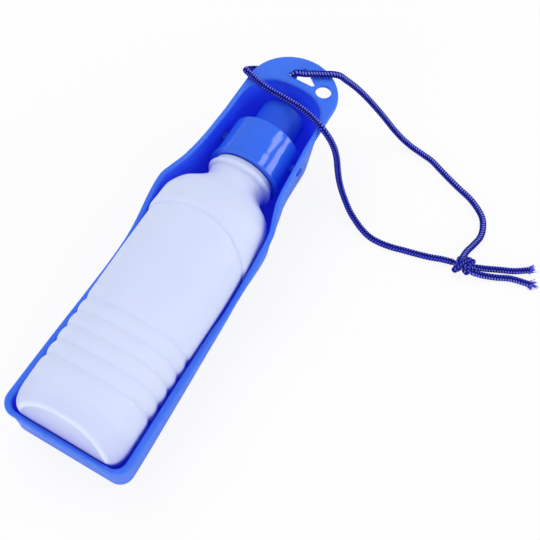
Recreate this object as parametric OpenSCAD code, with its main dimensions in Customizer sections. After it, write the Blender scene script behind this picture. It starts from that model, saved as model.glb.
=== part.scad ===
// Travel water bottle for dogs: a squeeze bottle on a swivel cap, folded into its drinking trough.
// Long axis +Y from the trough's square end to its head flange, +Z up, the trough's underside at z = 0.

/* [Trough] */
// Overall length of the trough, rim to rim
trough_len = 280; // [240:1:320]
// Half width of the rim at the square end
near_half_w = 40.3; // [34:0.1:46]
// Half width of the rim along the narrow neck part
neck_half_w = 29.3; // [26:0.1:34]
// Rim height along the square half
near_rim_z = 33; // [26:0.5:42]
// Rim height along the neck part and of the head flange
head_rim_z = 58; // [50:0.5:64]
// Wall and floor thickness
wall_t = 2; // [1.4:0.1:3]
// Thickness of the turned-out lip and of the head flange
lip_t = 2.4; // [1.6:0.1:4]
// Radius of the head flange
flange_r = 29.6; // [26:0.1:34]
// Plan radius of the two square-end corners
corner_r = 9.5; // [5:0.5:16]

/* [Head flange holes] */
// Radius of the round hang hole
hang_r = 5; // [3:0.1:7]
// Hang hole centre to the right of the middle
hang_x = 17; // [14:0.5:19]
// Hang hole centre measured back from the head end
hang_back = 18.5; // [14:0.5:22]
// Corner radius of the cord hole
cord_hole_r = 1.8; // [1:0.1:3]

/* [Swivel] */
// Swivel axis measured from the square end
pivot_y = 212; // [206:0.5:216]
// Swivel axis above the underside
pivot_z = 39.5; // [38:0.5:44]
// Trunnion pin radius
pin_r = 3; // [2.5:0.1:4.5]
// Rest tilt of the bottle, its foot end lying lower
rest_tilt = 2.7; // [0:0.1:3]
// Radial running clearance of a pin in its bore
pin_gap = 0.06; // [0.02:0.01:0.1]
// How far a pin end stands out of the trough wall
pin_out = 2.4; // [0.5:0.1:3]

/* [Bottle] */
// From the rim of the square half in to the bottle's side
side_room = 6.6; // [6.2:0.1:10]
// Half height of the bottle body
body_b = 28; // [24:0.1:32]
// Roundness of the body section, 2 is an ellipse
body_n = 2.6; // [2:0.1:4]
// Shell thickness of the bottle
shell_t = 1.2; // [0.8:0.1:2]
// Depth of the five finger grooves
groove_d = 1.1; // [0.5:0.1:2]
// Spacing of the finger grooves
groove_pitch = 9.5; // [8:0.1:11]
// Radial clearance of the bottle neck in the cap's bore
neck_gap = 0.5; // [0.3:0.1:1]
// Wall of the bottle neck
neck_t = 2.2; // [1.8:0.1:3]
// How far the bead under the cap stands inside the cap's rim
bead_in = 1.7; // [1:0.1:3]

/* [Cap and spout] */
// From the rim of the trough's neck part in to the swivel cap
cap_room = 6.8; // [6.5:0.1:9]
// Wall of the swivel cap
cap_wall = 3.6; // [3:0.1:4.5]
// Length of the swivel cap
cap_len = 29; // [24:0.5:32]
// Outer radius of the spout
spout_r = 14.8; // [12:0.1:16]
// Length of the spout beyond the cap
spout_len = 22; // [16:0.5:24]
// Radius of the outlet in the end of the spout
outlet_r = 3.2; // [2:0.1:6]

/* [Cord] */
// Diameter of the braided wrist cord
cord_d = 4; // [3:0.1:5]

/* [Hidden] */
$fn = 72;

mid = trough_len / 2;
hang_y = trough_len - hang_back;
body_a = near_half_w - side_room;
cap_r = neck_half_w - cap_room;
cap_rim = 0.8;
bore_r = cap_r - cap_wall;
neck_r = bore_r - neck_gap;
thread_h = 1;
root_r = neck_r - thread_h;
neck_bore = neck_r - neck_t;
bead_r = cap_r + cap_rim - bead_in;
stem_r = spout_r - 1.8;
spout_bore = spout_r - 3.4;
cap_y0 = 192.5;
cap_y1 = cap_y0 + cap_len;
spout_y1 = cap_y1 + spout_len;
neck_end = cap_y1 - 7.5;
washer_t = 2;
spout_flange_t = 2.5;

// Rim height, plan half widths and floor rounding along the trough: [distance from square end, value]
rim_z = [[0, near_rim_z - 0.5], [50, near_rim_z], [98, near_rim_z], [112, near_rim_z + 0.8],
         [124, near_rim_z + 2.9], [137, near_rim_z + 8.3], [151, head_rim_z - 10],
         [164, head_rim_z - 4.9], [180, head_rim_z - 3.6], [200, head_rim_z - 3.6], [222, head_rim_z - 1.6],
         [238, head_rim_z - 0.3], [246, head_rim_z], [250, head_rim_z], [trough_len, head_rim_z]];
rim_w = [[0, near_half_w], [40, near_half_w - 0.4], [90, near_half_w - 1.1], [130, near_half_w - 1.3],
         [150, near_half_w - 0.5], [161, near_half_w - 1.2], [168, near_half_w - 3.7],
         [178, neck_half_w + 4.2], [190, neck_half_w + 2.5], [205, neck_half_w + 1.4],
         [230, neck_half_w], [trough_len, neck_half_w]];
lip_over = [[0, 2.3], [96, 2.3], [110, 1.4], [trough_len, 1.4]];
foot_w = [[0, near_half_w - 2.5], [20, near_half_w - 2.9], [64, near_half_w - 4.9], [90, near_half_w - 6.1],
          [108, near_half_w - 6.7], [126, near_half_w - 6.8], [150, near_half_w - 6.2],
          [162, near_half_w - 7], [172, near_half_w - 9.1], [182, neck_half_w - 0.3],
          [192, neck_half_w - 2.7], [202, neck_half_w - 5.3], [212, neck_half_w - 6.1],
          [trough_len, neck_half_w - 6.5]];
floor_r = [[0, 5], [96, 6], [112, 11], [126, 18], [150, 21], [164, 19], [185, 12], [205, 11],
           [trough_len, 11]];

// Smooth curve through a table of [position, value]
function seg(t, y, i = 0) = (i >= len(t) - 2 || y < t[i + 1][0]) ? i : seg(t, y, i + 1);
function slope(t, i) = let (a = max(i - 1, 0), b = min(i + 1, len(t) - 1))
    (t[b][1] - t[a][1]) / (t[b][0] - t[a][0]);
function curve(t, y) = let (i = seg(t, y), h = t[i + 1][0] - t[i][0], u = (y - t[i][0]) / h)
    (2 * u * u * u - 3 * u * u + 1) * t[i][1] + (u * u * u - 2 * u * u + u) * h * slope(t, i)
    + (3 * u * u - 2 * u * u * u) * t[i + 1][1] + (u * u * u - u * u) * h * slope(t, i + 1);

// Half outline in plan: square end, corner, side, head arc. k picks lip (0), wall top (1), foot (2)
side_y = [13, 22, 34, 48, 62, 76, 88, 97, 104, 111, 118, 125, 132, 139, 146, 152, 157, 161, 165,
          169, 173, 178, 184, 190, 197, 204, 212, 220];
head_c = [trough_len - flange_r, 229.5, 226];
head_l = [flange_r, 29, 25];
head_n = [2, 2.4, 2.4];
end_y = [0, 1.1, 1.5];
function half_w(k, y) = k == 0 ? curve(rim_w, y) : k == 1 ? curve(rim_w, y) - curve(lip_over, y)
    : curve(foot_w, y);
function head_w(k) = k == 0 ? flange_r : half_w(k, 226);
function half_plan(k) = let (w0 = half_w(k, corner_r), r = corner_r - 0.8 * end_y[k], e = end_y[k],
        n = head_n[k], hw = head_w(k))
    concat([for (i = [0:3]) [(w0 - r) * i / 4, e]],
           [for (i = [0:5]) [w0 - r + r * sin(i * 18), e + r - r * cos(i * 18)]],
           [for (y = side_y) [half_w(k, y), y]],
           [for (i = [1:12]) let (a = 90 * i / 13)
               [hw * pow(cos(a), 2 / n), head_c[k] + head_l[k] * pow(sin(a), 2 / n)]],
           [[0, head_c[k] + head_l[k]]]);
function ring(h) = concat(h, [for (i = [len(h) - 2:-1:1]) [-h[i][0], h[i][1]]]);
PLAN = [for (k = [0:2]) ring(half_plan(k))];
NP = len(PLAN[0]);

// A ring moved inward in plan by d
function inward(q, d) = [for (i = [0:len(q) - 1]) let (a = q[(i + len(q) - 1) % len(q)],
        b = q[(i + 1) % len(q)], v = b - a, m = norm(v))
    [q[i][0] - v[1] / m * d[i], q[i][1] + v[0] / m * d[i]]];
function all_d(v) = [for (i = [0:NP - 1]) v];
// Ring of the wall at height share s between foot (0) and rim (1), low down on the floor's rounding
function wall_ring(s, d) = let (q = [for (i = [0:NP - 1]) PLAN[2][i] * (1 - s) + PLAN[1][i] * s],
        z = [for (p = q) s * curve(rim_z, p[1])],
        g = inward(q, [for (i = [0:NP - 1]) let (r = curve(floor_r, q[i][1]) - d,
            low = max(0, r + d - z[i])) d + r - sqrt(r * r - low * low)]))
    [for (i = [0:NP - 1]) [g[i][0], g[i][1], z[i]]];
// Ring on the rounding between wall and floor, a from 0 (wall) to 90 (floor), t above the underside
function floor_ring(a, t, d) = let (r = [for (p = PLAN[2]) curve(floor_r, p[1]) - d],
        g = inward(PLAN[2], [for (v = r) d + v * (1 - cos(a))]))
    [for (i = [0:NP - 1]) [g[i][0], g[i][1], t + r[i] * (1 - sin(a))]];
function lip_ring(q, drop) = [for (p = q) [p[0], p[1], curve(rim_z, p[1]) - drop]];

function skin(m, n) = [for (i = [0:n - 2]) for (j = [0:m - 1]) for (t = [0, 1])
    let (a = i * m + j, b = i * m + (j + 1) % m) t == 0 ? [a, b, b + m] : [a, b + m, a + m]];

// Floor closed by strips from side to side, so every face is flat and convex
function floor_faces(b, flip) = let (h = NP / 2)
    [for (i = [4:h - 1]) let (f = i == 4 ? [5, NP - 5, NP - 4, NP - 3, NP - 2, NP - 1, 0, 1, 2, 3, 4]
        : i == h - 1 ? [i, h, h + 1] : [i, i + 1, NP - i - 1, NP - i])
        flip ? [for (j = [len(f) - 1:-1:0]) b + f[j]] : [for (j = f) b + j]];

module trough_shell() {
    rings = concat([floor_ring(90, 0, 0), floor_ring(60, 0, 0), floor_ring(30, 0, 0)],
        [for (s = [0.3, 0.62]) wall_ring(s, 0)],
        [lip_ring(PLAN[1], lip_t), lip_ring(PLAN[0], lip_t), lip_ring(PLAN[0], 0.5),
         lip_ring(inward(PLAN[0], all_d(0.5)), 0), lip_ring(inward(PLAN[1], all_d(wall_t)), 0)],
        [for (s = [0.62, 0.3]) wall_ring(s, wall_t)],
        [floor_ring(30, wall_t, wall_t), floor_ring(60, wall_t, wall_t), floor_ring(90, wall_t, wall_t)]);
    n = len(rings);
    polyhedron([for (q = rings) each q],
        concat([for (f = skin(NP, n)) [f[2], f[1], f[0]]], floor_faces(0, false),
               floor_faces((n - 1) * NP, true)), convexity = 8);
}

module cord_hole() {
    c = [[-6.4, trough_len - 16.4], [8, trough_len - 16.8], [-0.6, trough_len - 10]];
    linear_extrude(20) polygon([for (k = [0:2]) for (i = [0:4])
        let (a = [-150, -30, 90][k] - 60 + i * 30) c[k] + cord_hole_r * [cos(a), sin(a)]]);
}

module trough() color([0.14, 0.33, 0.9]) translate([0, -mid, 0]) difference() {
    trough_shell();
    translate([-40, pivot_y, pivot_z]) rotate([0, 90, 0]) cylinder(r = pin_r + pin_gap, h = 80);
    translate([hang_x, hang_y, head_rim_z - 10]) cylinder(r = hang_r, h = 20);
    translate([0, 0, head_rim_z - 10]) cord_hole();
}

// Body sections of the bottle: [y, half width, half height, roundness]
groove_y0 = 35.2;
function groove(y) = let (k = round((y - groove_y0) / groove_pitch),
        d = y - groove_y0 - k * groove_pitch)
    (k < 0 || k > 4) ? 0 : groove_d * max(0, cos(min(90, abs(d) / 3.4 * 90)));
grip_y = [for (k = [0:4]) for (d = [-3.4, -1.7, 0, 1.7, 3.4]) groove_y0 + k * groove_pitch + d];
body_st = concat(
    [[3.4, body_a - 8.6, body_b - 4.2, 2.5], [3.8, body_a - 5.3, body_b - 2.2, 2.5],
     [5.5, body_a - 2.5, body_b - 0.8, 2.6], [9, body_a - 0.8, body_b - 0.2, body_n],
     [15, body_a, body_b, body_n]],
    [for (y = grip_y) [y, body_a - groove(y), body_b - groove(y), body_n]],
    [[84, body_a, body_b, body_n], [110, body_a + 0.2, body_b + 0.1, body_n],
     [128, body_a + 0.1, body_b + 0.1, body_n], [145.5, body_a, body_b, body_n],
     [147.5, body_a + 0.9, body_b + 1.1, 2.7], [152, body_a + 0.9, body_b + 0.7, 2.7],
     [157, body_a + 0.7, body_b - 0.3, 2.7],
     [163, body_a - 0.9, body_b - 1.8, 2.5], [168, body_a - 3.6, body_b - 4, 2.4],
     [172, body_a - 7.8, body_b - 6.6, 2.2], [175.5, neck_r + 3.2, neck_r + 1.6, 2.05],
     [179, neck_r + 0.3, neck_r + 0.2, 2], [182.5, neck_r - 0.2, neck_r - 0.2, 2]]);
inner_st = concat(
    [[5.6, body_a - 13, body_b - 11, 2.3], [7.3, body_a - 6, body_b - 4.6, 2.4],
     [16, body_a - shell_t, body_b - shell_t, body_n]],
    [for (y = grip_y) if (groove(y) > 0.1 || y > 73)
        [y, body_a - shell_t - groove(y), body_b - shell_t - groove(y), body_n]],
    [[145.5, body_a - shell_t, body_b - shell_t, body_n],
     [152, body_a + 0.5 - shell_t, body_b + 0.4 - shell_t, body_n],
     [157, body_a + 0.1 - shell_t, body_b - 0.6 - shell_t, 2.6], [165.5, body_a - 3.6, body_b - 4.4, 2.4],
     [171, body_a - 9, body_b - 8, 2.2], [175, neck_bore + 3.8, neck_bore + 2.2, 2.05],
     [179, neck_bore + 0.4, neck_bore + 0.4, 2], [182.5, neck_bore + 0.3, neck_bore + 0.3, 2]]);
NB = 56;
function bow(y, s) = y < 140 || y > 155 ? 0 : -(y > 150 ? 0.5 : 1) * s * s * (10 + 2.5 * s);
// The foot end is rounded over the bottle's height: it draws back towards its top and bottom
function draw_back(y, z) = 9 * max(0, min(1, (26 - y) / 16)) * pow(max(0, abs(z) - 3) / 25, 2);
function pw(v, n) = sign(v) * pow(abs(v), 2 / n);
function section(q) = [for (i = [0:NB - 1]) let (a = 360 * i / NB, x = q[1] * pw(cos(a), q[3]),
        z = q[2] * pw(sin(a), q[3])) [x, q[0] + bow(q[0], x / q[1]) + draw_back(q[0], z), pivot_z + z]];
// A section closed by strips from side to side, so every face is flat
function end_faces(b, flip) = let (h = NB / 2) [for (c = [0, h]) for (i = [0:NB / 4 - 1])
    let (q = [c + i, c + i + 1, c + h - i - 1, (c + h - i) % NB],
        f = i == NB / 4 - 1 ? [q[0], q[1], q[3]] : q)
    flip ? [for (j = [len(f) - 1:-1:0]) b + f[j]] : [for (j = f) b + j]];
module bottle_shell() {
    rings = concat([for (q = body_st) section(q)],
                   [for (i = [len(inner_st) - 1:-1:0]) section(inner_st[i])]);
    n = len(rings);
    polyhedron([for (q = rings) each q],
        concat(skin(NB, n), end_faces(0, true), end_faces((n - 1) * NB, false)), convexity = 8);
}
// Turned solid about the bottle axis from [radius, y] points
module turned(p) translate([0, 0, pivot_z]) rotate([-90, 0, 0]) rotate_extrude() polygon(p);

// Everything that swings, tilted about the swivel axis so the bottle's foot rests in the trough
module swung() translate([0, pivot_y - mid, pivot_z]) rotate([rest_tilt, 0, 0])
    translate([0, -pivot_y, -pivot_z]) children();

module bottle() color([0.86, 0.89, 0.98]) swung() {
    bottle_shell();
    turned(concat([[neck_bore, 180.6], [neck_r + 0.5, 180.6], [neck_r + 0.5, 182.4], [neck_r + 0.9, 184.2],
        [bead_r - 0.6, 185.6], [bead_r, 186.6], [bead_r, 187.6], [bead_r - 0.6, 188.4],
        [neck_r + 1.4, 188.8], [neck_r + 1.4, 190.6], [root_r, 190.8]],
        [for (k = [0:2]) for (p = [[0, 0], [thread_h, 1.2], [thread_h, 2.2], [0, 3.4]])
            [root_r + p[0], cap_y0 + 3 + 6 * k + p[1]]],
        [[root_r, neck_end], [neck_bore, neck_end]]));
}

module swivel_cap() color([0.16, 0.36, 0.92]) swung() {
    crest = bore_r - thread_h - 0.1;
    turned(concat([[bore_r, cap_y0], [cap_r + cap_rim - 0.3, cap_y0], [cap_r + cap_rim, cap_y0 + 0.6],
        [cap_r + cap_rim, cap_y0 + 1.4], [cap_r, cap_y0 + 2], [cap_r, cap_y1 - 1], [cap_r - 1, cap_y1],
        [stem_r + 0.1, cap_y1], [stem_r + 0.1, cap_y1 - 3], [bore_r, cap_y1 - 3]],
        [for (k = [1:-1:0]) for (p = [[bore_r, 2.2], [crest, 1.5], [crest, 0.7], [bore_r, 0]])
            [p[0], cap_y0 + 6.6 + 6 * k + p[1]]]));
    for (s = [-1, 1]) translate([s * (cap_r - 2.5), pivot_y, pivot_z]) rotate([0, s * 90, 0])
        cylinder(r = pin_r, h = 6.4 + pin_out);
}

module spout() color([0.1, 0.26, 0.8]) swung()
    turned([[spout_bore, cap_y1 - 3 - spout_flange_t], [root_r, cap_y1 - 3 - spout_flange_t],
        [root_r, cap_y1 - 3], [stem_r, cap_y1 - 3], [stem_r, cap_y1], [spout_r, cap_y1],
        [spout_r, spout_y1 - 1.5], [spout_r - 1.5, spout_y1], [outlet_r, spout_y1],
        [outlet_r, spout_y1 - 1.8], [spout_bore, spout_y1 - 1.8]]);

module sealing_washer() color([0.6, 0.62, 0.72]) swung()
    turned([[spout_bore + 0.2, neck_end], [root_r, neck_end], [root_r, neck_end + washer_t],
        [spout_bore + 0.2, neck_end + washer_t]]);

// Wrist cord: centre lines of its free stretches, and the knot that ties them
route_a = [[-5.4, 124.1, 55.5], [-4.7, 123.9, 59.3], [1.5, 126.2, 60.4], [6.5, 129.4, 60.4],
    [12, 132.4, 60.4], [15.5, 134.6, 60.4], [19.6, 137.5, 58.8], [24, 140.6, 53.8], [30, 145, 46],
    [36, 148.5, 38], [43, 151.5, 29], [51, 153.5, 20], [59, 154, 12.5], [67, 154, 7], [75, 153.5, 4],
    [83, 153, 2.5], [91, 151.5, 2.2], [100, 147.5, 2.2], [109, 143.5, 2.2], [117.5, 140, 2.2],
    [125.5, 137, 2.2], [133, 132.5, 2.2], [139, 127, 2.2], [142, 121, 2.2], [143.5, 113.5, 2.2],
    [142, 105.5, 2.2], [140, 98, 2.4], [139.5, 91, 3.4]];
route_b = [[-5.4, 124.1, 55.5], [-6, 123.8, 53.2], [-9.2, 123.7, 52.6], [-13.5, 123.2, 52.6],
    [-20, 122, 52.6], [-26, 120.8, 52.6], [-30, 118.9, 52.9], [-32.6, 115.3, 54.6],
    [-32.9, 111.7, 57.4], [-31.4, 109, 60.1], [-27, 107.2, 60.5], [-20, 104.8, 60.5],
    [-12.5, 103.4, 60.1], [-5, 102.8, 59.9], [2, 102.3, 59.9], [9, 101.5, 59.9], [16.5, 99.8, 60.2],
    [24.5, 96.8, 60.5], [30, 94.3, 60.3], [33.5, 93.6, 58], [37.5, 93.6, 53], [40.5, 93.8, 47],
    [43, 94, 39], [45, 93.7, 30], [47.5, 93, 21], [51, 91.8, 13], [56, 89.3, 7], [62, 85.3, 3.8],
    [68.5, 81.5, 2.5], [75, 78, 2.2], [82, 75.6, 2.2], [89, 75.3, 2.2], [96.5, 76.2, 2.2],
    [104, 78, 2.2], [112.5, 80, 2.2], [121, 82.3, 2.2], [129, 85, 2.4], [135.5, 86, 3.4]];
route_up = [[149.5, 89.9, 3.4], [155, 92.8, 2.4], [163.5, 97, 2.2], [172, 101, 2.2], [180.2, 106.7, 2.2]];
route_low = [[149.5, 85.6, 3.4], [155, 87.4, 2.4], [163.2, 90.5, 2.2], [171.7, 94.6, 2.2],
    [184.4, 97.3, 2.2]];
knot_c = [142.5, 86.5, 5];
knot_r = [8.2, 6.6, 4.9];
knot_turn = 18;

function unit(v) = v / norm(v);
function along(p, i) = unit(p[min(i + 1, len(p) - 1)] - p[max(i - 1, 0)]);
function side0(t) = unit(cross(t, abs(t[2]) > 0.8 ? [0, 1, 0] : [0, 0, 1]));
module cord(p, m = 8) {
    n = len(p);
    u = [for (i = 0, w = side0(along(p, 0)); i < n; i = i + 1,
        w = i < n ? unit(w - (w * along(p, i)) * along(p, i)) : w) w];
    polyhedron([for (i = [0:n - 1]) let (t = along(p, i), v = cross(t, u[i])) for (j = [0:m - 1])
            p[i] + cord_d / 2 * (cos(360 * j / m) * u[i] + sin(360 * j / m) * v)],
        concat([for (f = skin(m, n)) [f[2], f[1], f[0]]], [[for (j = [0:m - 1]) j]],
               [[for (j = [m - 1:-1:0]) (n - 1) * m + j]]));
}
module cord_strand_a() color([0.1, 0.1, 0.55]) cord(route_a);
module cord_strand_b() color([0.1, 0.1, 0.55]) cord(route_b);
module cord_tail_upper() color([0.1, 0.1, 0.55]) cord(route_up);
module cord_tail_lower() color([0.1, 0.1, 0.55]) cord(route_low);
module cord_knot() color([0.1, 0.1, 0.55]) translate(knot_c) rotate([0, 0, knot_turn]) {
    m = 16;
    n = 7;
    polyhedron(concat([for (i = [1:n]) for (j = [0:m - 1]) let (a = -90 + 180 * i / (n + 1))
            [knot_r[0] * cos(a) * cos(360 * j / m), knot_r[1] * cos(a) * sin(360 * j / m),
             knot_r[2] * sin(a)]]),
        concat([for (f = skin(m, n)) [f[2], f[1], f[0]]], [[for (j = [0:m - 1]) j]],
               [[for (j = [m - 1:-1:0]) (n - 1) * m + j]]));
}

trough();
bottle();
swivel_cap();
spout();
sealing_washer();
cord_strand_a();
cord_strand_b();
cord_tail_upper();
cord_tail_lower();
cord_knot();
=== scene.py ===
"""Dog travel water bottle: a squeeze bottle on a swivel cap, folded into its drinking trough."""
import math

import bmesh
import bpy
import numpy as np
from mathutils import Matrix, Vector


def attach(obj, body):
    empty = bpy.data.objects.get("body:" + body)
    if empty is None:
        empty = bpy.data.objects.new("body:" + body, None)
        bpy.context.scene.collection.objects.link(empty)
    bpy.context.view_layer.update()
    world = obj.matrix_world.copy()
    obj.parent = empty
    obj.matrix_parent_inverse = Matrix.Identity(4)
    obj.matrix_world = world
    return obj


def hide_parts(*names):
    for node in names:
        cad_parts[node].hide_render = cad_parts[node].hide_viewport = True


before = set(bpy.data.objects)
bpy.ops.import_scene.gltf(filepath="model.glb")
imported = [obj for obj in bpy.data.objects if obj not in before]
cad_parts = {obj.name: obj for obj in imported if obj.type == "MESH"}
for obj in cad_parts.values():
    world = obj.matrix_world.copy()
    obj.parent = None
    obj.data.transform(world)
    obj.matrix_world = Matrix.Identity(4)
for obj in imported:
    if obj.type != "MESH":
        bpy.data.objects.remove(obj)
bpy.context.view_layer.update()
scene = bpy.context.scene


# ---------------------------------------------------------------- Camera
# It looks down from over the trough's square end, a little to the right, with the head of the
# trough at the top of the frame and the cord laid out to its right.
camera = bpy.data.objects.new("camera", bpy.data.cameras.new("camera"))
scene.collection.objects.link(camera)
scene.camera = camera
camera.data.sensor_width = 36
camera.data.lens = 57.56
stand = Vector((0.14179, -0.21112, 0.47984))
heading, dip, roll = math.radians(-24.01), math.radians(61.92), math.radians(6.14)
ahead = Vector((math.cos(dip) * math.sin(heading), math.cos(dip) * math.cos(heading), -math.sin(dip)))
level = Vector((math.cos(heading), -math.sin(heading), 0))
over = level.cross(ahead)
frame_right = level * math.cos(roll) + over * math.sin(roll)
frame_up = over * math.cos(roll) - level * math.sin(roll)
camera.matrix_world = Matrix.LocRotScale(
    stand, Matrix((frame_right, frame_up, -ahead)).transposed(), None)


# ---------------------------------------------------------------- Wrist cord
# One length of round braided polyester, 4 mm thick, doubled through the triangular hole of the
# head flange. One strand crosses the flange's right edge, the other goes under it, round its left
# edge and back across the trough; both drop to the ground and meet in the knot.
cord_thick = 0.004
strand_a_route = [
    (-5.4, 124.1, 55.5), (-4.7, 123.9, 59.3), (1.5, 126.2, 60.4), (6.5, 129.4, 60.4), (12, 132.4, 60.4),
    (15.5, 134.6, 60.4), (19.6, 137.5, 58.8), (24, 140.6, 53.8), (30, 145, 46), (36, 148.5, 38),
    (43, 151.5, 29), (51, 153.5, 20), (59, 154, 12.5), (67, 154, 7), (75, 153.5, 4), (83, 153, 2.5),
    (91, 151.5, 2.2), (100, 147.5, 2.2), (109, 143.5, 2.2), (117.5, 140, 2.2), (125.5, 137, 2.2),
    (133, 132.5, 2.2), (139, 127, 2.2), (142, 121, 2.2), (143.5, 113.5, 2.2), (142, 105.5, 2.2),
    (140, 98, 2.4), (139.5, 91, 3.4)]
strand_b_route = [
    (-5.4, 124.1, 55.5), (-6, 123.8, 53.2), (-9.2, 123.7, 52.6), (-13.5, 123.2, 52.6), (-20, 122, 52.6),
    (-26, 120.8, 52.6), (-30, 118.9, 52.9), (-32.6, 115.3, 54.6), (-32.9, 111.7, 57.4),
    (-31.4, 109, 60.1), (-27, 107.2, 60.5), (-20, 104.8, 60.5), (-12.5, 103.4, 60.1), (-5, 102.8, 59.9),
    (2, 102.3, 59.9), (9, 101.5, 59.9), (16.5, 99.8, 60.2), (24.5, 96.8, 60.5), (30, 94.3, 60.3),
    (33.5, 93.6, 58), (37.5, 93.6, 53), (40.5, 93.8, 47), (43, 94, 39), (45, 93.7, 30), (47.5, 93, 21),
    (51, 91.8, 13), (56, 89.3, 7), (62, 85.3, 3.8), (68.5, 81.5, 2.5), (75, 78, 2.2), (82, 75.6, 2.2),
    (89, 75.3, 2.2), (96.5, 76.2, 2.2), (104, 78, 2.2), (112.5, 80, 2.2), (121, 82.3, 2.2),
    (129, 85, 2.4), (135.5, 86, 3.4)]
tail_upper_route = [(149.5, 89.9, 3.4), (155, 92.8, 2.4), (163.5, 97, 2.2), (172, 101, 2.2),
                    (180.2, 106.7, 2.2)]
tail_lower_route = [(149.5, 85.6, 3.4), (155, 87.4, 2.4), (163.2, 90.5, 2.2), (171.7, 94.6, 2.2),
                    (184.4, 97.3, 2.2)]


def smooth(stations, parts=8):
    """Points on one smooth curve through all the stations, which may have any number of values."""
    p = np.asarray(stations, float)
    t = np.concatenate([[0], np.cumsum(np.linalg.norm(np.diff(p, axis=0), axis=1))])
    slope = np.gradient(p, t, axis=0)
    points = []
    for i in range(len(p) - 1):
        u = np.linspace(0, 1, parts, endpoint=False)[:, None]
        gap = t[i + 1] - t[i]
        points.append((2 * u**3 - 3 * u**2 + 1) * p[i] + (u**3 - 2 * u**2 + u) * gap * slope[i]
                      + (3 * u**2 - 2 * u**3) * p[i + 1] + (u**3 - u**2) * gap * slope[i + 1])
    return np.concatenate(points + [p[-1:]])


class Wire:
    """A socket in a node tree. Sums on it add Math nodes, and add() makes any other node."""

    def __init__(self, tree, socket=None):
        self.tree = tree
        self.socket = socket

    def add(self, kind, settings=None, values=None, out=0):
        node = self.tree.nodes.new(kind)
        for name, value in (settings or {}).items():
            setattr(node, name, value)
        for name, value in (values or {}).items():
            if isinstance(value, Wire):
                self.tree.links.new(value.socket, node.inputs[name])
            else:
                node.inputs[name].default_value = value
        return Wire(self.tree, node.outputs[out])

    def math(self, operation, *others):
        return self.add("ShaderNodeMath", {"operation": operation}, dict(enumerate((self, *others))))

    def __add__(self, other):
        return self.math("ADD", other)

    def __sub__(self, other):
        return self.math("SUBTRACT", other)

    def __rsub__(self, other):
        return self * -1 + other

    def __mul__(self, other):
        return self.math("MULTIPLY", other)

    def __truediv__(self, other):
        return self.math("DIVIDE", other)

    def __pow__(self, other):
        return self.math("POWER", other)

    def __mod__(self, other):
        return self.math("FLOORED_MODULO", other)

    def __lt__(self, other):
        return self.math("LESS_THAN", other)

    __radd__ = __add__
    __rmul__ = __mul__


def new_tree(name, sizes):
    """A geometry tree with named number inputs: the tree, its geometry and those inputs as wires."""
    tree = bpy.data.node_groups.new(name, "GeometryNodeTree")
    tree.interface.new_socket("Geometry", in_out="INPUT", socket_type="NodeSocketGeometry")
    tree.interface.new_socket("Geometry", in_out="OUTPUT", socket_type="NodeSocketGeometry")
    for size in sizes:
        tree.interface.new_socket(size, in_out="INPUT", socket_type="NodeSocketFloat")
    entry = tree.nodes.new("NodeGroupInput")
    return tree, *(Wire(tree, entry.outputs[name]) for name in ["Geometry", *sizes])


def end_tree(tree, shape, material):
    """Realizes what the tree has made, gives it its material and sends it out."""
    shape = shape.add("GeometryNodeRealizeInstances", None, {"Geometry": shape})
    shape = shape.add("GeometryNodeSetMaterial", None, {"Geometry": shape, "Material": material})
    tree.links.new(shape.socket, tree.nodes.new("NodeGroupOutput").inputs[0])


def grown(name, start, tree, sizes):
    """The plain mesh that the tree makes of the start mesh, as a piece of its own."""
    source = bpy.data.objects.new(name + " start", start)
    scene.collection.objects.link(source)
    modifier = source.modifiers.new("grow", "NODES")
    modifier.node_group = tree
    for item in tree.interface.items_tree:
        if item.name in sizes:
            modifier[item.identifier] = sizes[item.name]
    seen = source.evaluated_get(bpy.context.evaluated_depsgraph_get())
    piece = bpy.data.objects.new(name, bpy.data.meshes.new_from_object(seen))
    scene.collection.objects.link(piece)
    bpy.data.objects.remove(source)
    return piece


def lines(paths):
    """A mesh of edges alone, one chain for each path of points in metres."""
    mesh = bpy.data.meshes.new("lines")
    points, edges = [], []
    for path in paths:
        edges += [(len(points) + i, len(points) + i + 1) for i in range(len(path) - 1)]
        points += [tuple(p) for p in path]
    mesh.from_pydata(points, edges, [])
    return mesh


def new_material(name, **fixed):
    """A material with a Principled shader whose unchanging sockets are set: its wire and shader."""
    material = bpy.data.materials.new(name)
    material.use_nodes = True
    shader = material.node_tree.nodes["Principled BSDF"]
    for socket, value in fixed.items():
        shader.inputs[socket.replace("_", " ")].default_value = value
    return material, Wire(material.node_tree), shader


def feed(shader, socket, wire):
    wire.tree.links.new(wire.socket, shader.inputs[socket])


def mixed(factor, low, high):
    """A colour between two others, each a wire or four numbers."""
    return factor.add("ShaderNodeMix", {"data_type": "RGBA"}, {0: factor, 6: low, 7: high}, 2)


def noise(place, scale, detail):
    return place.add("ShaderNodeTexNoise", None, {"Vector": place, "Scale": scale, "Detail": detail}, "Fac")


def attribute(wire, name):
    return wire.add("ShaderNodeAttribute", {"attribute_name": name}, None, "Fac")


def emboss(shader, height, strength, depth):
    """Lets a height shape the surface's shading, up to a depth in metres."""
    feed(shader, "Normal", height.add("ShaderNodeBump", None, {
        "Height": height, "Strength": strength, "Distance": depth}))


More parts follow.
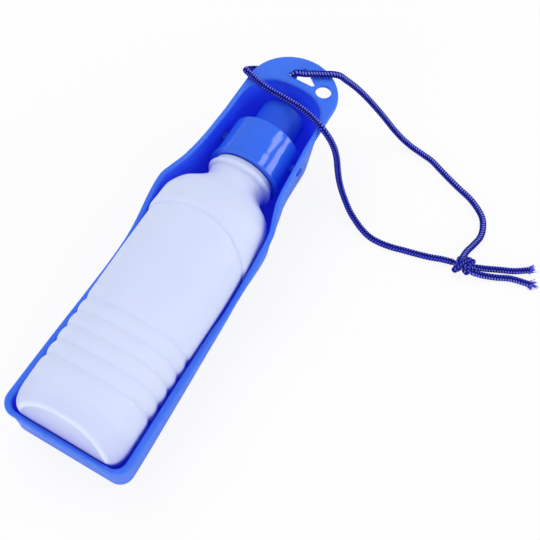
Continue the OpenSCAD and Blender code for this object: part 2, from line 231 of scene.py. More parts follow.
# Eight bundles of royal blue yarn. Where they dive under each other the colour is painted nearly black as
# shade.
braid_blue, wire, shader = new_material("braided polyester", Specular_IOR_Level=0.06)
lift = attribute(wire, "lift")
tone = attribute(wire, "tone")
place = wire.add("ShaderNodeTexCoord", None, None, "Object")
fibre = noise(place, 2600.0, 2.0)
patch = noise(place, 300.0, 2.0)
dye = mixed(tone * 0.7 + fibre * 0.3, (0.05, 0.06, 0.68, 1), (0.19, 0.22, 0.86, 1))
# Painted shade: away from a bundle's crest the colour falls to nearly black.
unshaded_crest = wire.add("ShaderNodeMapRange", {"interpolation_type": "SMOOTHSTEP"}, {
    "Value": lift + patch * 0.25, "From Min": 0.64, "From Max": 1.06})
feed(shader, "Base Color", mixed(unshaded_crest, (0.002, 0.003, 0.14, 1), dye))
feed(shader, "Roughness", 0.8 - fibre * 0.2)
emboss(shader, fibre, 0.35, 0.0002)

braid, shape, thick, step, lay, relief = new_tree("round braid", ["Thickness", "Step", "Lay", "Relief"])
bundles = 4  # that turn each way
repeat = 4  # a bundle passes over two others and then under two
sunk = 0.4  # the share of the relief that lies inside the cord's mean thickness
shape = shape.add("GeometryNodeMeshToCurve", None, {"Mesh": shape})
shape = shape.add("GeometryNodeResampleCurve", {"mode": "LENGTH"}, {"Curve": shape, "Length": step})
run = shape.add("GeometryNodeSplineParameter", None, None, "Length")
shape = shape.add("GeometryNodeStoreNamedAttribute", None, {"Geometry": shape, "Name": "along", "Value": run})
ring = shape.add("GeometryNodeCurvePrimitiveCircle", None, {
    "Resolution": 36, "Radius": thick * 0.5 - relief * sunk})
turn = ring.add("GeometryNodeSplineParameter", None, None, "Factor")
ring = ring.add("GeometryNodeStoreNamedAttribute", None, {"Geometry": ring, "Name": "around", "Value": turn})
shape = shape.add("GeometryNodeCurveToMesh", None, {"Curve": shape, "Profile Curve": ring, "Fill Caps": True})
along = shape.add("GeometryNodeInputNamedAttribute", None, {"Name": "along"})
around = shape.add("GeometryNodeInputNamedAttribute", None, {"Name": "around"})
right_hand = (along / lay - around) * bundles
left_hand = (along / lay + around) * bundles
right_yarn = right_hand.math("FLOOR")
left_yarn = left_hand.math("FLOOR")
right_run = (right_yarn + 1 - left_hand) % repeat
left_run = (right_hand - left_yarn) % repeat - repeat / 2
right_on_top = right_run < repeat / 2


def crown(run, across):
    """How high a bundle stands: it dives at both ends of its float and rounds off across."""
    bulge = (run * (2 * math.pi / repeat)).math("SINE").math("MAXIMUM", 0.0)
    width = (across * math.pi).math("SINE").math("MAXIMUM", 0.0)
    return (bulge * width) ** 0.5


rise = (right_on_top * crown(right_run, right_hand - right_yarn)
        + (1 - right_on_top) * crown(left_run, left_hand - left_yarn))
shape = shape.add("GeometryNodeStoreNamedAttribute", None, {"Geometry": shape, "Name": "lift", "Value": rise})
shape = shape.add("GeometryNodeStoreNamedAttribute", None, {
    "Geometry": shape, "Name": "tone", "Value": right_on_top})
outward = shape.add("ShaderNodeVectorMath", {"operation": "SCALE"}, {
    0: shape.add("GeometryNodeInputNormal"), "Scale": rise * relief})
shape = shape.add("GeometryNodeSetPosition", None, {"Geometry": shape, "Offset": outward})
shape = shape.add("GeometryNodeSetShadeSmooth", None, {"Geometry": shape})
end_tree(braid, shape, braid_blue)
braid_sizes = {"Thickness": cord_thick, "Step": 0.00035, "Lay": 0.007, "Relief": 0.0003}


# ---------------------------------------------------------------- Knot and frayed ends
# Both strands are tied together in one tight overhand knot, and the ends are cut and left to fray.
# The wraps cross over each other round the two strands that run through them, pulled tight.
knot_middle = np.array((142.5, 86.5, 5.0))
knot_turn = math.radians(18)
knot_thick = 0.0034
knot_axis = np.array((math.cos(knot_turn), math.sin(knot_turn), 0))
knot_side = np.array((-math.sin(knot_turn), math.cos(knot_turn), 0))


def wrap(shift, slant, half_width, half_height):
    """One turn round the knot's middle, shifted along it and leaning over by slant."""
    angles = np.linspace(0, 2 * math.pi, 41)
    return [knot_middle + knot_axis * (shift + slant * math.cos(a)) + knot_side * half_width * math.cos(a)
            + np.array((0, 0, half_height * math.sin(a))) for a in angles]


knot_paths = [
    wrap(-3.7, 0.6, 3.9, 2.5),
    wrap(-1.2, 4.4, 4.4, 3.1),
    wrap(1.6, -0.6, 4.6, 2.7),
    wrap(3.2, 2.2, 3.6, 2.9),
    smooth([(139.5, 91, 3.4), (140.5, 87.5, 4.6), (144, 87.2, 5), (149.5, 89.9, 3.4)]),
    smooth([(135.5, 86, 3.4), (139.5, 85, 4.6), (144, 84.4, 4.8), (149.5, 85.6, 3.4)])]
knot = grown("cord_knot_tied", lines([np.asarray(p) / 1000 for p in knot_paths]), braid,
             {**braid_sizes, "Thickness": knot_thick})
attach(knot, "trough")
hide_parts("cord_knot")

threads, shape, thick = new_tree("frayed threads", ["Thread"])
shape = shape.add("GeometryNodeMeshToCurve", None, {"Mesh": shape})
taper = 1.0 - shape.add("GeometryNodeSplineParameter", None, None, "Factor") * 0.6
shape = shape.add("GeometryNodeCurveToMesh", None, {
    "Curve": shape, "Fill Caps": True, "Scale": taper,
    "Profile Curve": shape.add("GeometryNodeCurvePrimitiveCircle", None, {"Resolution": 5, "Radius": thick})})
for name, value in (("lift", 0.88), ("tone", 0.3)):
    shape = shape.add("GeometryNodeStoreNamedAttribute", None, {
        "Geometry": shape, "Name": name, "Value": value})
end_tree(threads, shape, braid_blue)
thread_r = 0.00036
tuft_threads = 22
root_depth, root_spread, lowest = 1.2, 0.75, 0.25


def frayed(name, route, tufts, seed):
    """The open end of a tail: loose threads that spring apart in the given tufts."""
    rng = np.random.default_rng(seed)
    tip = np.array(route[-1], float)
    way = tip - np.array(route[-2], float)
    way /= np.linalg.norm(way)
    paths = []
    for tuft in tufts:
        lean = np.array(tuft, float)
        for _ in range(tuft_threads):
            start = tip - way * root_depth + rng.normal(0, root_spread, 3) * (1, 1, 0.8)
            reach = lean * rng.uniform(0.7, 1.05) + rng.normal(0, 0.3, 3)
            curl = rng.normal(0, 0.3, 3)
            path = [start + way * 2 * u + reach * u**1.3 + curl * math.sin(3 * u)
                    for u in np.linspace(0, 1, 6)]
            paths.append([(p[0], p[1], max(p[2], lowest)) for p in path])
    return grown(name, lines([np.array(p) / 1000 for p in paths]), threads, {"Thread": thread_r})


fray_upper = frayed("cord_fray_upper", tail_upper_route,
                    [(0.4, 3.2, 0.8), (2.2, 0.6, 0.4), (1.0, -1.8, 0.2)], seed=3)
fray_lower = frayed("cord_fray_lower", tail_lower_route,
                    [(1.4, 2.6, 0.5), (3.0, -0.4, 0.4), (0.4, -3, 0.3)], seed=5)
for fray in (fray_upper, fray_lower):
    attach(fray, "trough")


def laid_cord(name, node, route):
    """One stretch of the cord along its route."""
    path = smooth(route) / 1000
    piece = grown(name, lines([path]), braid, braid_sizes)
    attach(piece, "trough")
    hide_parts(node)


laid_cord("cord_strand_over", "cord_strand_a", strand_a_route)
laid_cord("cord_strand_under", "cord_strand_b", strand_b_route)
laid_cord("cord_tail_up", "cord_tail_upper", tail_upper_route)
laid_cord("cord_tail_low", "cord_tail_lower", tail_lower_route)


# ---------------------------------------------------------------- Drinking trough
# The long tray that the bottle folds into and the dog drinks from: one moulding of blue
# polypropylene, 2 mm thick, with a turned-out lip and a flat flange at the head.
trough_len, near_half_w, neck_half_w, near_rim, head_rim = 280, 40.3, 29.3, 33, 58
wall, lip, flange_r, corner_r, head_from = 2, 2.4, 29.6, 9.5, 220
hang_r, hang_x, hang_y = 5, 17, 261.5
tip_r, hole_edge = 1.8, 0.45
pivot_y, pivot_z, pin_r, pin_room = 212, 39.5, 3, 0.06
rim_height = [[0, near_rim - 0.5], [50, near_rim], [98, near_rim], [112, near_rim + 0.8],
              [124, near_rim + 2.9], [137, near_rim + 8.3], [151, head_rim - 10], [164, head_rim - 4.9],
              [180, head_rim - 3.6], [200, head_rim - 3.6], [222, head_rim - 1.6], [238, head_rim - 0.3],
              [246, head_rim], [250, head_rim], [trough_len, head_rim]]
rim_width = [[0, near_half_w], [40, near_half_w - 0.4], [90, near_half_w - 1.1], [130, near_half_w - 1.3],
             [150, near_half_w - 0.5], [161, near_half_w - 1.2], [168, near_half_w - 3.7],
             [178, neck_half_w + 4.2], [190, neck_half_w + 2.5], [205, neck_half_w + 1.4],
             [230, neck_half_w], [trough_len, neck_half_w]]
lip_over = [[0, 2.3], [96, 2.3], [110, 1.4], [trough_len, 1.4]]
foot_width = [[0, 37.8], [20, 37.4], [64, 35.4], [90, 34.2], [108, 33.6], [126, 33.5], [150, 34.1],
              [162, 33.3], [172, 31.2], [182, 29], [192, 26.6], [202, 24], [212, 23.2], [trough_len, 22.8]]
floor_round = [[0, 5], [96, 6], [112, 11], [126, 18], [150, 21], [164, 19], [185, 12], [205, 11],
               [trough_len, 11]]


def read(table, y):
    """A value from a table of [distance from the square end, value], smooth in between."""
    t, v = np.array(table, float).T
    y = np.clip(y, t[0], t[-1])
    i = np.clip(np.searchsorted(t, y, side="right") - 1, 0, len(t) - 2)
    slope = np.concatenate([[v[1] - v[0]], v[2:] - v[:-2], [v[-1] - v[-2]]])
    slope /= np.concatenate([[t[1] - t[0]], t[2:] - t[:-2], [t[-1] - t[-2]]])
    gap = t[i + 1] - t[i]
    u = (y - t[i]) / gap
    return ((2 * u**3 - 3 * u**2 + 1) * v[i] + (u**3 - 2 * u**2 + u) * gap * slope[i]
            + (3 * u**2 - 2 * u**3) * v[i + 1] + (u**3 - u**2) * gap * slope[i + 1])


def plan(width, inset, centre, length, roundness, head_width):
    """An outline seen from above: square end, corner, side and head arc, and the same mirrored."""
    r = corner_r - 0.8 * inset
    w0 = float(width(corner_r))
    half = [((w0 - r) * u, inset) for u in np.linspace(0, 1, 12, endpoint=False)]
    half += [(w0 - r + r * math.sin(a), inset + r - r * math.cos(a))
             for a in np.linspace(0, math.pi / 2, 14)]
    half += [(float(width(y)), y) for y in np.linspace(corner_r + 2, head_from, 130)]
    half += [(head_width * math.cos(a) ** (2 / roundness), centre + length * math.sin(a) ** (2 / roundness))
             for a in np.linspace(0, math.pi / 2, 48)[1:-1]]
    half.append((0, centre + length))
    return np.array(half + [(-x, y) for x, y in half[-2:0:-1]])


lip_plan = plan(lambda y: read(rim_width, y), inset=0, centre=trough_len - flange_r,
                length=flange_r, roundness=2, head_width=flange_r)
top_plan = plan(lambda y: read(rim_width, y) - read(lip_over, y), inset=1.1, centre=229.5,
                length=29, roundness=2.4, head_width=float(read(rim_width, 226) - read(lip_over, 226)))
foot_plan = plan(lambda y: read(foot_width, y), inset=1.5, centre=226,
                 length=25, roundness=2.4, head_width=float(read(foot_width, 226)))


def inward(outline, amount):
    """The outline moved in by the amount, square to itself."""
    run = np.roll(outline, -1, axis=0) - np.roll(outline, 1, axis=0)
    run /= np.linalg.norm(run, axis=1)[:, None]
    return outline + np.stack([-run[:, 1], run[:, 0]], 1) * np.reshape(amount, (-1, 1))


def at_rim(outline, drop):
    return np.column_stack([outline, read(rim_height, outline[:, 1]) - drop])


def wall_ring(share, depth):
    """A ring of the wall at a share of its height; low down it rounds in to the floor."""
    between = foot_plan * (1 - share) + top_plan * share
    height = share * read(rim_height, between[:, 1])
    r = read(floor_round, between[:, 1]) - depth
    low = np.clip(r + depth - height, 0, r)
    ring = inward(between, depth + r - np.sqrt(r**2 - low**2))
    return np.column_stack([ring, np.maximum(height, depth)])


def bend(steps, radius):
    """The offsets of a quarter round: how far out of the way it has come, and how far down."""
    angles = np.linspace(0, math.pi / 2, steps)
    return [(radius * (1 - math.sin(a)), radius * (1 - math.cos(a))) for a in angles]


def trough_rings():
    """The shell from the middle of the underside round the lip to the middle of the floor."""
    shares = [0.012, 0.03, 0.05, 0.075, 0.1, 0.14, 0.19, 0.25, 0.35, 0.5, 0.65, 0.8, 0.9]
    floor_in = read(floor_round, foot_plan[:, 1])
    across = np.linalg.norm(lip_plan - top_plan, axis=1) + wall
    inner_soft = np.minimum(0.5 * across, 2.2)
    outer_soft = np.minimum(0.36 * across, 1.5)
    rings = [np.column_stack([inward(foot_plan, floor_in), 0 * floor_in])]
    rings += [wall_ring(s, 0) for s in shares]
    rings += [at_rim(top_plan, lip + 0.5), at_rim(inward(top_plan, -0.3), lip)]
    rings += [at_rim(inward(lip_plan, a), lip - b) for a, b in reversed(bend(4, 0.5))]
    rings += [at_rim(inward(lip_plan, b * outer_soft), a * outer_soft) for a, b in bend(8, 1)]
    rings += [at_rim(inward(top_plan, wall - a * inner_soft), b * inner_soft)
              for b, a in reversed(bend(9, 1))]
    rings += [wall_ring(s, wall) for s in reversed(shares) if s > 0.04]
    rings += [np.column_stack([inward(foot_plan, floor_in), 0 * floor_in + wall])]
    return [np.column_stack([r[:, 0], r[:, 1] - trough_len / 2, r[:, 2]]) / 1000 for r in rings]


def skinned(name, rings, ends="fan", painted_light_zone=None):
    """A closed skin through rings of points. Its ends are strips from side to side, or fans. A
    value for each ring can be kept as the attribute "zone", a mask for painted light and shade."""
    rings = np.asarray(rings)
    n, m = rings.shape[:2]
    faces = [(i * m + j, i * m + (j + 1) % m, (i + 1) * m + (j + 1) % m, (i + 1) * m + j)
             for i in range(n - 1) for j in range(m)]
    points = rings.reshape(-1, 3)
    for base in (0, (n - 1) * m):
        if ends == "strips":
            faces += [(base + j, base + j + 1, base + m - j - 1, base + (m - j) % m)
                      for j in range(1, m // 2 - 1)]
            faces += [(base, base + 1, base + m - 1), (base + m // 2 - 1, base + m // 2, base + m // 2 + 1)]
        else:
            middle = len(points)
            points = np.concatenate([points, points[base:base + m].mean(0)[None]])
            faces += [(base + j, base + (j + 1) % m, middle) for j in range(m)]
    mesh = bpy.data.meshes.new(name)
    mesh.from_pydata(points.tolist(), [], faces)
    if painted_light_zone is not None:
        corners = np.zeros(len(mesh.loops), int)
        mesh.loops.foreach_get("vertex_index", corners)
        values = np.append(np.repeat(painted_light_zone, m), (painted_light_zone[0], painted_light_zone[-1]))[corners]
        mesh.attributes.new("painted_light_zone", "FLOAT", "CORNER").data.foreach_set("value", values)
    tidy = bmesh.new()
    tidy.from_mesh(mesh)
    bmesh.ops.remove_doubles(tidy, verts=tidy.verts, dist=1e-7)
    bmesh.ops.recalc_face_normals(tidy, faces=tidy.faces)
    tidy.to_mesh(mesh)
    tidy.free()
    piece = bpy.data.objects.new(name, mesh)
    scene.collection.objects.link(piece)
    return piece


def punch(outline, low, high, flare, place):
    """A cutter for a hole with softened edges: the outline grows by flare at both faces."""
    rows = [(low - 2, flare)] + [(low + a, b) for b, a in bend(5, flare)]
    rows += [(high - a, b) for b, a in reversed(bend(5, flare))] + [(high + 2, flare)]
    cutter = skinned("punch", [[place(x, y, z) for x, y in inward(outline, -grow)] for z, grow in rows])
    cutter.hide_render = True
    return cutter


circle = np.array([(math.cos(a), math.sin(a)) for a in np.linspace(0, 2 * math.pi, 64, endpoint=False)])


def upright(x, y, z):
    return x / 1000, (y - trough_len / 2) / 1000, z / 1000


tips = [((-6.4, 263.6), 210), ((8, 263.2), 330), ((-0.6, 270), 90)]
triangle = np.array([(x + tip_r * math.cos(math.radians(mid - 60 + k * 12)),
                      y + tip_r * math.sin(math.radians(mid - 60 + k * 12)))
                     for (x, y), mid in tips for k in range(11)])
hang_hole = circle * hang_r + (hang_x, hang_y)
cutters = [punch(hang_hole, head_rim - lip, head_rim, hole_edge, upright),
           punch(triangle, head_rim - lip, head_rim, hole_edge, upright)]
for side in (-1, 1):
    cutters.append(punch(circle * (pin_r + pin_room), low=15, high=34, flare=0.0001,
                         place=lambda y, z, x: upright(side * x, y + pivot_y, z + pivot_z)))


def finished(piece, cuts=()):
    """The piece with its holes cut and shaded smooth, as one plain mesh."""
    for cutter in cuts:
        cut = piece.modifiers.new("cut", "BOOLEAN")
        cut.operation, cut.solver, cut.object = "DIFFERENCE", "EXACT", cutter
    piece.data.polygons.foreach_set("use_smooth", [True] * len(piece.data.polygons))
    even = piece.modifiers.new("even", "WEIGHTED_NORMAL")
    even.keep_sharp = True
    seen = piece.evaluated_get(bpy.context.evaluated_depsgraph_get())
    mesh = bpy.data.meshes.new_from_object(seen)
    mesh.polygons.foreach_set("use_smooth", [True] * len(mesh.polygons))
    piece.modifiers.clear()
    piece.data = mesh
    for cutter in cuts:
        bpy.data.objects.remove(cutter)
    return piece


# Satin blue polypropylene, slightly uneven in gloss, with a fine moulded grain. The thin walls let some light
# through. The outside and the hollow are lit and shaded copies of the plastic: the outside is painted
# lighter, the hollow a deeper blue as painted shade, with a faint painted glow.
trough_blue, wire, shader = new_material(
    "blue polypropylene", IOR=1.49, Specular_IOR_Level=0.4, Subsurface_Weight=0.4,
    Subsurface_Radius=(0.05, 0.2, 1.0), Subsurface_Scale=0.005, Emission_Strength=1.0)
place = wire.add("ShaderNodeTexCoord", None, None, "Object")
inner_shade_and_glow = attribute(wire, "painted_light_zone")
cloud = noise(place, 22.0, 3.0)
grain = noise(place, 1800.0, 2.0)
lit_outer_blue = mixed(cloud, (0.044, 0.165, 0.84, 1), (0.058, 0.20, 0.88, 1))
# Painted shade and painted glow: a deeper blue base and faint blue emission over the hollow.
feed(shader, "Base Color", mixed(inner_shade_and_glow, lit_outer_blue, (0.017, 0.075, 0.82, 1)))
feed(shader, "Emission Color", mixed(inner_shade_and_glow, (0, 0, 0, 1), (0.004, 0.006, 0.14, 1)))
feed(shader, "Roughness", 0.3 + cloud * 0.1 + grain * 0.06)
emboss(shader, grain, 0.12, 0.0001)

# Counted in rings from the middle of the underside, the hollow's painted shade and glow start on the lip.
inside_from, inside_over = 31, 8
rings = trough_rings()
painted_inner_shade = np.clip((np.arange(len(rings)) - inside_from) / inside_over, 0, 1)
trough = finished(skinned("drinking_trough", rings, "strips", painted_inner_shade), cutters)
trough.data.materials.clear()
trough.data.materials.append(trough_blue)
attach(trough, "trough")
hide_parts("trough")


# ---------------------------------------------------------------- Squeeze bottle
# The blow-moulded bottle, soft frosted polyethylene with five finger grooves round its foot half
# and a bead under the cap. It screws into the cap and swings with it.
rest_tilt = math.radians(2.7)
body_a, body_b, body_n = 33.7, 28, 2.6
neck_r, bead_r, root_r = 18.9, 21.6, 17.4
foot_draw, foot_from, foot_over, foot_flat = 9, 26, 16, 3
bow_from, bow_in, bow_out, bow_to = 126, 14, 8, 157
bow_deep, bow_lean = 10, 2.5
grooves, groove_first, groove_pitch, groove_depth = 5, 35.2, 9.5, 1.3


def swung(points):
    """Points in the bottle's own frame, millimetres from the square end, set at the rest tilt."""
    p = np.asarray(points, float)
    y, z = p[..., 1] - pivot_y, p[..., 2]
    return np.stack([p[..., 0], y * math.cos(rest_tilt) - z * math.sin(rest_tilt) + pivot_y - trough_len / 2,
                     y * math.sin(rest_tilt) + z * math.cos(rest_tilt) + pivot_z], -1) / 1000


def section(y, a, b, n, parts=128):
    """A rounded section of the bottle. The foot end draws back towards its top and bottom, and the
    shoulder line bows towards the foot at the sides."""
    t = np.linspace(0, 2 * math.pi, parts, endpoint=False)
    x = a * np.sign(np.cos(t)) * np.abs(np.cos(t)) ** (2 / n)
    z = b * np.sign(np.sin(t)) * np.abs(np.sin(t)) ** (2 / n)
    rise = np.maximum(np.abs(z) - foot_flat, 0) / (body_b - foot_flat)
    back = foot_draw * np.clip((foot_from - y) / foot_over, 0, 1) * rise ** 2
    share = np.clip(min((y - bow_from) / bow_in, (bow_to - y) / bow_out), 0, 1)
    bow = share * (x / a) ** 2 * (bow_deep + bow_lean * x / a)
    return np.column_stack([x, y + back - bow, z])


body_stations = [
    (3.5, 3, 3, 2.2), (3.45, body_a - 19, body_b - 18, 2.4), (3.4, body_a - 12, body_b - 10, 2.5),
    (3.5, body_a - 8.6, body_b - 7, 2.5), (3.7, body_a - 6.4, body_b - 5, 2.5),
    (4.4, body_a - 4.6, body_b - 3.9, 2.5), (5.2, body_a - 3.3, body_b - 3.6, 2.55),
    (7, body_a - 1.8, body_b - 3.5, 2.6), (10, body_a - 0.6, body_b - 2.8, body_n),
    (14, body_a, body_b - 1.7, body_n), (20, body_a, body_b - 0.6, body_n), (27, body_a, body_b, body_n),
    *[(groove_first + groove_pitch * k, body_a, body_b, body_n) for k in range(grooves)],
    (84, body_a, body_b, body_n), (110, body_a + 0.2, body_b + 0.1, body_n),
    (128, body_a + 0.1, body_b + 0.1, body_n), (141, body_a + 0.1, body_b + 0.1, body_n),
    (144.3, body_a, body_b, body_n), (145.5, body_a - 0.25, body_b - 0.25, body_n),
    (146, body_a - 0.2, body_b - 0.2, body_n), (146.6, body_a + 0.45, body_b + 0.5, 2.65),
    (147.8, body_a + 0.95, body_b + 1.05, 2.7), (152, body_a + 0.9, body_b + 0.7, 2.7),
    (157, body_a + 0.7, body_b - 0.3, 2.7),
    (163, body_a - 0.9, body_b - 1.8, 2.5), (168, body_a - 3.6, body_b - 4, 2.4),
    (172, body_a - 7.8, body_b - 6.6, 2.2), (175.5, 21.6, 20, 2.05), (179, neck_r, neck_r, 2),
    (182.4, neck_r, neck_r, 2), (184.2, 19.3, 19.3, 2), (185.6, 21, 21, 2), (186.6, bead_r, bead_r, 2),
    (187.6, bead_r, bead_r, 2), (188.4, 21, 21, 2), (188.9, 19.8, 19.8, 2), (191.7, 19.8, 19.8, 2),
    (192, root_r, root_r, 2), (200, root_r, root_r, 2), (214, root_r, root_r, 2), (214.2, 16.4, 16.4, 2)]
rows = smooth(body_stations, 7)
fine = []
for low, high in zip(rows[:-1], rows[1:]):
    parts = max(1, int(np.ceil(abs(high[0] - low[0]) / 0.7)))
    fine += [low + (high - low) * k / parts for k in range(parts)]
fine.append(rows[-1])
# The zone paints light: 1 on the end face and about 0.4 up to the grooves and on the neck for painted shade,
# -1 on the foot end's ridge for a painted highlight.
bottle_start = skinned("bottle start", [section(*row) for row in fine],
                       painted_light_zone=np.interp(
                           [row[0] for row in fine],
                           [3.55, 3.8, 4.1, 5, 14, 22, 165, 195], [1, -1, -0.5, 0.5, 0.4, 0, 0, 0.4]))

grip, shape, first, pitch, depth, reach = new_tree(
    "finger grooves", ["First groove", "Pitch", "Depth", "Half width"])
where = shape.add("GeometryNodeInputPosition")
along = shape.add("ShaderNodeSeparateXYZ", None, {0: where}, "Y")
aside = shape.add("ShaderNodeSeparateXYZ", None, {0: where}, "X") / body_a
nearest = ((along - first) / pitch).math("ROUND").math("MAXIMUM", 0.0).math("MINIMUM", grooves - 1)
off = ((along - first - nearest * pitch) / reach).math("ABSOLUTE").math("MINIMUM", 1.0)
dent = (1 - off) ** 2 * (aside * aside * 0.25 + 0.75) * depth
normal = shape.add("GeometryNodeInputNormal")
shape = shape.add("GeometryNodeSetPosition", None, {"Geometry": shape, "Offset": shape.add(
    "ShaderNodeVectorMath", {"operation": "SCALE"}, {0: normal, "Scale": dent * -1})})
shape = shape.add("GeometryNodeSetShadeSmooth", None, {"Geometry": shape})

# Frosted polyethylene: cool white, with painted shade, tinted lilac by the trough's blue, on the neck and on
# the foot end, more of it lower down, and a painted highlight, paler white, along the foot end's ridge. The
# zone is -1 on that ridge and 1 on the end face.
bottle_white, wire, shader = new_material(
    "frosted polyethylene", IOR=1.5, Specular_IOR_Level=0.4, Subsurface_Weight=0.25, Subsurface_Scale=0.005,
    Subsurface_Radius=(0.7, 0.85, 1.0))
place = wire.add("ShaderNodeTexCoord", None, None, "Object")
painted_light_zone = attribute(wire, "painted_light_zone")
height = wire.add("ShaderNodeSeparateXYZ", None, {0: place}, "Z")
low = wire.add("ShaderNodeMapRange", None, {"Value": height, "From Min": 0.056, "From Max": 0.034})
cloud = noise(place, 14.0, 3.0)
frost = noise(place, 1500.0, 3.0)
body = mixed(cloud, (0.62, 0.69, 0.93, 1), (0.69, 0.74, 0.94, 1))
# Painted shade: the lilac, more of it lower down.
lilac_shade = painted_light_zone.math("MAXIMUM", 0.0) * low.math("MAXIMUM", 0.2)
# Painted highlight: paler white along the foot end's ridge.
ridge_highlight = mixed((painted_light_zone * -1).math("MAXIMUM", 0.0), body, (0.73, 0.79, 0.95, 1))
feed(shader, "Base Color", mixed(lilac_shade, ridge_highlight, (0.34, 0.36, 0.76, 1)))
feed(shader, "Roughness", 0.42 + frost * 0.14)
emboss(shader, frost, 0.15, 0.0001)
end_tree(grip, shape, bottle_white)
bottle = grown("squeeze_bottle", bottle_start.data, grip, {
    "First groove": groove_first, "Pitch": groove_pitch, "Depth": groove_depth,
    "Half width": groove_pitch / 2})
bpy.data.objects.remove(bottle_start)
places = np.array([v.co for v in bottle.data.vertices])
bottle.data.vertices.foreach_set("co", swung(places).ravel())
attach(bottle, "bottle")
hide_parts("bottle")


# ---------------------------------------------------------------- Swivel cap
# Polished blue cap with a small rim at its open end. Its two trunnion pins snap through the
# trough's walls, so that bottle and cap swing up together.
def rounded(profile):
    """A closed profile of [radius, y, corner radius], with each corner turned into an arc."""
    points = []
    for i, (r, y, soft) in enumerate(profile):
        here = np.array((r, y), float)
        back, on = (np.array(profile[(i + k) % len(profile)][:2], float) - here for k in (-1, 1))
        back /= np.linalg.norm(back)
        on /= np.linalg.norm(on)
        half = math.acos(np.clip(back @ on, -1, 1)) / 2
        if soft == 0 or half > 1.5:
            points.append(here)
            continue
        centre = here + (back + on) / np.linalg.norm(back + on) * soft / math.sin(half)
        start, stop = (here + v * soft / math.tan(half) - centre for v in (back, on))
        for u in np.linspace(0, 1, 6):
            spoke = start * (1 - u) + stop * u
            points.append(centre + spoke / np.linalg.norm(spoke) * soft)
    return np.array(points)


def turned(profile, parts=112):
    """Rings of a closed profile turned about the bottle's axis."""
    angles = np.linspace(0, 2 * math.pi, parts, endpoint=False)
    return [[(r * math.cos(a), y, r * math.sin(a)) for r, y in profile] for a in angles]


def ring_piece(name, profile):
    """A piece of the bottle's axis whose profile closes on itself, such as a cap or a washer."""
    rows = swung(turned(rounded(profile)))
    n, m = rows.shape[:2]
    faces = [(i * m + j, i * m + (j + 1) % m, (i + 1) % n * m + (j + 1) % m, (i + 1) % n * m + j)
             for i in range(n) for j in range(m)]
    mesh = bpy.data.meshes.new(name)
    mesh.from_pydata(rows.reshape(-1, 3).tolist(), [], faces)
    piece = bpy.data.objects.new(name, mesh)
    scene.collection.objects.link(piece)
    return piece


def with_parts(piece, *others):
    """The piece with other meshes joined on, all faces outward."""
    whole = bmesh.new()
    for part in (piece, *others):
        whole.from_mesh(part.data)
    bmesh.ops.recalc_face_normals(whole, faces=whole.faces)
    whole.to_mesh(piece.data)
    whole.free()
    for other in others:
        bpy.data.objects.remove(other)
    return piece


cap_y0, cap_y1 = 192.5, 221.5
cap_r, cap_rim, bore_r, stem_r, thread_crest = 22.5, 0.8, 18.9, 13.0, 17.8
cap = ring_piece("swivel_cap_turned", [
    (bore_r, cap_y0, 0.3), (cap_r + cap_rim, cap_y0, 0.5), (cap_r + cap_rim, cap_y0 + 1.7, 0.45),
    (cap_r, cap_y0 + 2.1, 0.2), (cap_r, cap_y1, 1.1), (stem_r + 0.1, cap_y1, 0.2),
    (stem_r + 0.1, cap_y1 - 3, 0.1), (bore_r, cap_y1 - 3, 0.3), *[
        corner for y in (206.2, 200.2) for corner in (
            (bore_r, y + 1.1, 0), (thread_crest, y + 0.4, 0.2), (thread_crest, y - 0.4, 0.2),
            (bore_r, y - 1.1, 0))]])
pins = []
for side in (-1, 1):
    pin_rows = [(20, 0.02), (20, pin_r), (28.2, pin_r), (28.5, 2.9), (28.7, 2.7), (28.8, 2.4), (28.8, 1.7),
                (28.7, 1.5), (28.3, 1.4), (28.2, 1.2), (28.2, 0.02)]
    pins.append(skinned("pin", [
        [upright(side * x, pivot_y + r * p, pivot_z + r * q) for p, q in circle] for x, r in pin_rows]))
    pins[-1].data.polygons.foreach_set("material_index", [1] * len(pins[-1].data.polygons))

# Polished blue, a little wavy where the moulding has shrunk, so reflections have uneven edges.
cap_blue, wire, shader = new_material("polished blue plastic", IOR=1.52, Specular_IOR_Level=0.55)
place = wire.add("ShaderNodeTexCoord", None, None, "Object")
wave = noise(place, 95.0, 1.0)
cloud = noise(place, 30.0, 3.0)
feed(shader, "Base Color", mixed(cloud, (0.022, 0.12, 0.80, 1), (0.030, 0.15, 0.86, 1)))
feed(shader, "Roughness", 0.07 + cloud * 0.06)
emboss(shader, wave, 1.0, 0.0008)

# The pins are left matt, like the spout that is clamped in the cap; its darker blue is painted shade on them.
spout_blue, wire, shader = new_material("matte blue plastic", IOR=1.49, Specular_IOR_Level=0.35)
place = wire.add("ShaderNodeTexCoord", None, None, "Object")
grain = noise(place, 1100.0, 3.0)
cloud = noise(place, 40.0, 3.0)
feed(shader, "Base Color", mixed(cloud, (0.014, 0.085, 0.72, 1), (0.020, 0.105, 0.80, 1)))
feed(shader, "Roughness", 0.48 + grain * 0.14)
emboss(shader, grain, 0.2, 0.0001)
cap = finished(with_parts(cap, *pins))
cap.data.materials.append(cap_blue)
cap.data.materials.append(spout_blue)
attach(cap, "bottle")
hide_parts("swivel_cap")


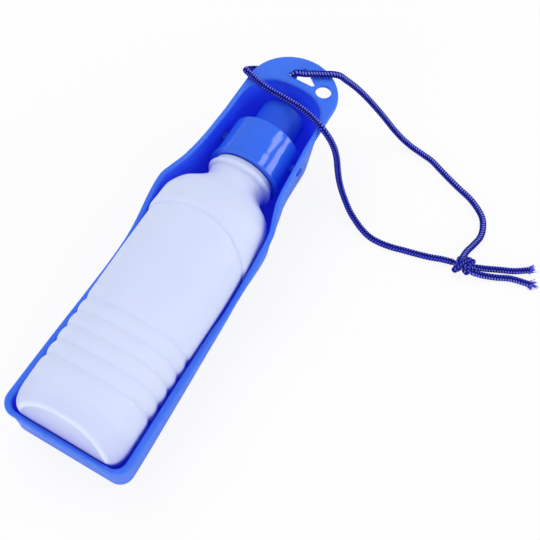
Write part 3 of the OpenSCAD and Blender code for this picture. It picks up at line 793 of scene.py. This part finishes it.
# ---------------------------------------------------------------- Spout and its seal
# The spout is a closed sleeve of matte blue plastic with one small outlet. Its flange is clamped
# in the cap between the end wall and a silicone washer on the bottle's mouth.
spout_r, spout_y1, outlet_r, spout_bore = 14.8, 243.5, 3.2, 11.4
spout = ring_piece("spout_turned", [
    (spout_bore, cap_y1 - 5.5, 0.2), (root_r, cap_y1 - 5.5, 0.2), (root_r, cap_y1 - 3, 0.2),
    (stem_r, cap_y1 - 3, 0.1), (stem_r, cap_y1, 0.1), (spout_r, cap_y1, 0.15),
    (spout_r, spout_y1, 1.5), (outlet_r, spout_y1, 0.4), (outlet_r, spout_y1 - 1.8, 0.2),
    (spout_bore, spout_y1 - 1.8, 0.8)])
spout = finished(with_parts(spout))
spout.data.materials.append(spout_blue)
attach(spout, "bottle")
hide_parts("spout")

washer_bore, washer_y0, washer_y1 = 11.6, 214, 216
washer = ring_piece("sealing_washer_turned", [
    (washer_bore, washer_y0, 0.5), (root_r, washer_y0, 0.5), (root_r, washer_y1, 0.5),
    (washer_bore, washer_y1, 0.5)])
silicone, wire, shader = new_material("grey silicone", IOR=1.43, Specular_IOR_Level=0.4)
place = wire.add("ShaderNodeTexCoord", None, None, "Object")
dust = noise(place, 300.0, 4.0)
feed(shader, "Base Color", mixed(dust, (0.33, 0.34, 0.46, 1), (0.42, 0.43, 0.54, 1)))
feed(shader, "Roughness", 0.5 + dust * 0.15)
washer = finished(with_parts(washer))
washer.data.materials.append(silicone)
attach(washer, "bottle")
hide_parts("sealing_washer")


# ---------------------------------------------------------------- Floor and light
# A plain white sheet under the object and soft, even studio light: a large softbox high on the
# left, which leaves no reflection of its own, weak fills in front and on the right, and two strips
# whose reflections run along the polished cap.
floor = bpy.data.objects.new("floor", bpy.data.meshes.new("floor"))
floor.data.from_pydata([(-3, -3, 0), (3, -3, 0), (3, 3, 0), (-3, 3, 0)], [], [(0, 1, 2, 3)])
scene.collection.objects.link(floor)
paper = bpy.data.materials.new("white paper")
paper.use_nodes = True
paper.node_tree.nodes.clear()
wire = Wire(paper.node_tree)
sheet = wire.add("ShaderNodeBsdfDiffuse", None, {"Color": (0.86, 0.86, 0.87, 1)})
glow = wire.add("ShaderNodeEmission", None, {"Color": (1, 1, 1, 1), "Strength": 1.0})
eye = wire.add("ShaderNodeLightPath", None, None, "Is Camera Ray")
surface = wire.add("ShaderNodeMixShader", None, {0: eye * 0.88, 1: sheet, 2: glow})
output = paper.node_tree.nodes.new("ShaderNodeOutputMaterial")
paper.node_tree.links.new(surface.socket, output.inputs["Surface"])
floor.data.materials.append(paper)

world = bpy.data.worlds.new("studio")
scene.world = world
world.use_nodes = True
world.node_tree.nodes["Background"].inputs["Color"].default_value = (0.97, 0.98, 1, 1)
wire = Wire(world.node_tree)
eye = wire.add("ShaderNodeLightPath", None, None, "Is Camera Ray")
world.node_tree.links.new((eye * 0.58 + 0.42).socket, world.node_tree.nodes["Background"].inputs["Strength"])


def softbox(name, place, target, across, along, power):
    """A rectangular lamp whose second side lies as near as it can to the object's long axis."""
    lamp = bpy.data.objects.new(name, bpy.data.lights.new(name, "AREA"))
    lamp.data.shape, lamp.data.size, lamp.data.size_y, lamp.data.energy = "RECTANGLE", across, along, power
    ahead = (Vector(target) - Vector(place)).normalized()
    aside = ahead.cross(Vector((0, 1, 0))).normalized()
    lamp.matrix_world = Matrix.LocRotScale(
        Vector(place), Matrix((aside, aside.cross(ahead), -ahead)).transposed(), None)
    scene.collection.objects.link(lamp)
    return lamp


middle, cap_middle = (0, 0, 0.03), (0, 0.067, 0.04)
key = softbox("key softbox", (-0.7, 0.3, 1.3), (0, 0, 0), across=1.0, along=1.0, power=11)
key.visible_glossy = False
softbox("near fill", (0.1, -1.0, 0.35), middle, across=1.2, along=0.5, power=4.5)
softbox("right fill", (0.9, -0.1, 0.35), middle, across=0.5, along=1.2, power=1.8)
softbox("cap strip inner", (0.62, 0.67, 0.83), cap_middle, across=0.25, along=0.5, power=1.6)
softbox("cap strip outer", (1.0, 0.67, 0.12), cap_middle, across=0.8, along=0.5, power=4.4)

scene.view_settings.view_transform = "Standard"
